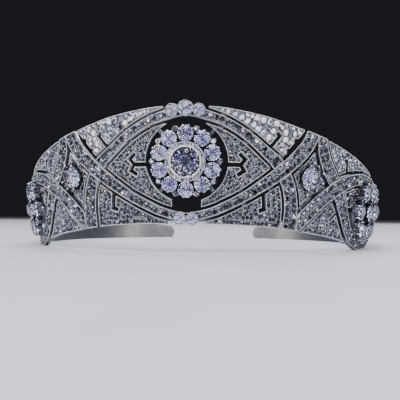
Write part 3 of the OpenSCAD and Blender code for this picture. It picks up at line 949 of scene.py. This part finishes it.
def finishBrooch(generator):
    # a halo of small stones between two beaded rims leads from the ten stones to the middle one
    middle, prongs = finishSetting("brooch", brooch["at"][0], brooch, generator)
    addMetal("brooch_prongs", clawShape, prongs, brightMetal)
    step = 360 / halo["count"]
    stones = [turned(middle, i * step, halo["ring"], halo["rise"]) for i in range(halo["count"])]
    addStones("brooch_halo", [sized(place, halo["stone"] * mm) for place in stones], generator, halo["paintedLights"])
    rims = [place for ring in halo["rims"] for place in ringOfBeads(middle, ring, halo["rise"], halo["bead"])]
    addMetal("brooch_halo_milgrain", bead, rims, milgrainMetal)
    addMetal("brooch_collar", collarShape, [sized(middle, mm)], brightMetal)


# the beads' ring and rise are measured from the stone's girdle
collets = {"prongs": (0, 90, 180, 270), "prongScale": 0.7, "beadRing": 0.26, "beadRise": 0.1, "bead": 0.12}


def finishCollets():
    # the row of three at the top of the front and the pair at its foot
    prongs, beads = [], []
    for name, (place, diameter) in stoneFrames.items():
        if name.startswith(("top_stone", "bottom_stone")):
            wide = diameter / mm
            prongs += prongPlaces(place, wide, collets["prongs"], collets["prongScale"])
            beads += ringOfBeads(place, wide / 2 + collets["beadRing"], collets["beadRise"], collets["bead"])
    addMetal("collet_prongs", clawShape, prongs, brightMetal)
    addMetal("collet_milgrain", bead, beads, milgrainMetal)


tips = {"turns": [22.5 + 45 * i for i in range(8)], "ring": 4.34, "rise": 0.8, "radius": 0.37,
        "lozengeAt": (32.9, 25.4), "lozengeRise": 1.9}


def finishTips():
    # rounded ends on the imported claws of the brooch's middle stone and of the two lozenge stones
    angle, height = tips["lozengeAt"]
    middles = [standAtAngle(*brooch["at"], brooch["middleRise"])]
    middles += [standAtAngle(side * angle, height, tips["lozengeRise"]) for side in (1, -1)]
    places = [sized(turned(middle, turn, tips["ring"], tips["rise"]), tips["radius"] * mm)
              for middle in middles for turn in tips["turns"]]
    addMetal("claw_tips", clawTip, places, brightMetal)


generator = random.Random(seeds["settings"])
finishCluster("left", -cluster["at"][0], generator)
finishCluster("right", cluster["at"][0], generator)
finishBrooch(generator)
finishCollets()
finishTips()
print("settings finished")


# Floor, light and camera

board = {"size": 6, "roughness": 0.7, "mottle": 30, "shade": "#d6d7da", "light": "#dcdde0"}


def makeFloor():
    # matt painted board, rolled on: pale, with a faint mottle
    material, tree, shader = newMaterial("painted_board_matt", {"Roughness": board["roughness"]})
    place = addNode(tree, "ShaderNodeTexCoord").outputs["Object"]
    mottle = addNode(tree, "ShaderNodeTexNoise", {"Scale": 1 / (board["mottle"] * mm), "Detail": 4.0},
                     {"Vector": place})
    paint = addNode(tree, "ShaderNodeValToRGB", {"stops": [(0.3, board["shade"]), (0.7, board["light"])]},
                    {"Fac": mottle.outputs["Fac"]})
    tree.links.new(paint.outputs["Color"], shader.inputs["Base Color"])
    startShape()
    bpy.ops.mesh.primitive_plane_add(size=board["size"], location=(0, 0, 0))
    floor = bpy.context.object
    floor.name = "floor"
    floor.data.materials.append(material)


# size, place, watts and colour
softBoxes = {
    "tent": ((1.5, 0.8), (0, -0.8, 0.75), 2.2, "#f0f3ff"),
    "top": ((0.7, 0.5), (0, 0.15, 0.9), 5.5, "#e8eeff"),
    "key": ((0.22, 0.22), (-0.4, -0.65, 0.75), 3, "#ffffff"),
    "back": ((1.2, 0.5), (0.1, 0.9, 0.5), 4, "#ffffff"),
}
# small lamps on a dome before the tiara, one flash each in the facets that face them
lamps = {"turns": (-72, -43, -15, 15, 43, 72), "distance": 0.9, "size": (0.12, 0.12), "watts": 0.75,
         "rows": ((9, "#fff2e0"), (33, "#ffffff"), (60, "#dde6ff"))}
studio = {"target": (0, -0.03, 0.025), "surround": "#34363c", "surroundStrength": 0.35}


def addLight(name, size, place, watts, colour):
    data = bpy.data.lights.new(name, "AREA")
    data.color = hexColour(colour)[:3]
    data.shape = "RECTANGLE"
    data.size, data.size_y = size
    data.energy = watts
    light = bpy.data.objects.new(name, data)
    light.location = place
    light.visible_camera = False
    aim = Vector(studio["target"]) - Vector(place)
    light.rotation_euler = aim.to_track_quat("-Z", "Y").to_euler()
    bpy.context.scene.collection.objects.link(light)


def makeLights():
    for name, box in softBoxes.items():
        addLight(name, *box)
    for turn in lamps["turns"]:
        for height, colour in lamps["rows"]:
            away = (Matrix.Rotation(math.radians(turn), 3, "Z")
                    @ Matrix.Rotation(-math.radians(height), 3, "X"))
            place = Vector(studio["target"]) + away @ Vector((0, -lamps["distance"], 0))
            addLight("lamp", lamps["size"], place, lamps["watts"], colour)
    world = bpy.data.worlds.new("studio")
    bpy.context.scene.world = world
    world.use_nodes = True
    background = world.node_tree.nodes["Background"]
    background.inputs["Color"].default_value = hexColour(studio["surround"])
    background.inputs["Strength"].default_value = studio["surroundStrength"]


# target and distance in mm, angles in radians, the picture's middle in pixels of a square picture
view = {"target": (0, 6.59, 10.2), "distance": 252.0, "azimuth": 0.08027667, "elevation": math.radians(0.5),
        "roll": 0.010377, "focalPixels": 552.6, "middlePixel": (204.25, 220.77), "pictureSize": 400,
        "sensor": 36.0, "nearest": 0.01}


def makeCamera():
    data = bpy.data.cameras.new("camera")
    picture = view["pictureSize"]
    data.sensor_width = view["sensor"]
    data.lens = view["focalPixels"] / picture * view["sensor"]
    data.shift_x = -(view["middlePixel"][0] - picture / 2) / picture
    data.shift_y = (view["middlePixel"][1] - picture / 2) / picture
    data.clip_start = view["nearest"]
    azimuth, elevation, roll = view["azimuth"], view["elevation"], view["roll"]
    back = Vector((math.sin(azimuth) * math.cos(elevation), -math.cos(azimuth) * math.cos(elevation),
                   math.sin(elevation)))
    right = Vector((math.cos(azimuth), math.sin(azimuth), 0))
    up = back.cross(right)
    rightRolled = right * math.cos(roll) + up * math.sin(roll)
    upRolled = up * math.cos(roll) - right * math.sin(roll)
    turn = Matrix((rightRolled, upRolled, back)).transposed().to_4x4()
    camera = bpy.data.objects.new("camera", data)
    camera.matrix_world = Matrix.Translation((Vector(view["target"]) + back * view["distance"]) * mm) @ turn
    bpy.context.scene.collection.objects.link(camera)
    bpy.context.scene.camera = camera


makeFloor()
makeLights()
makeCamera()
print("floor, lights and camera placed")
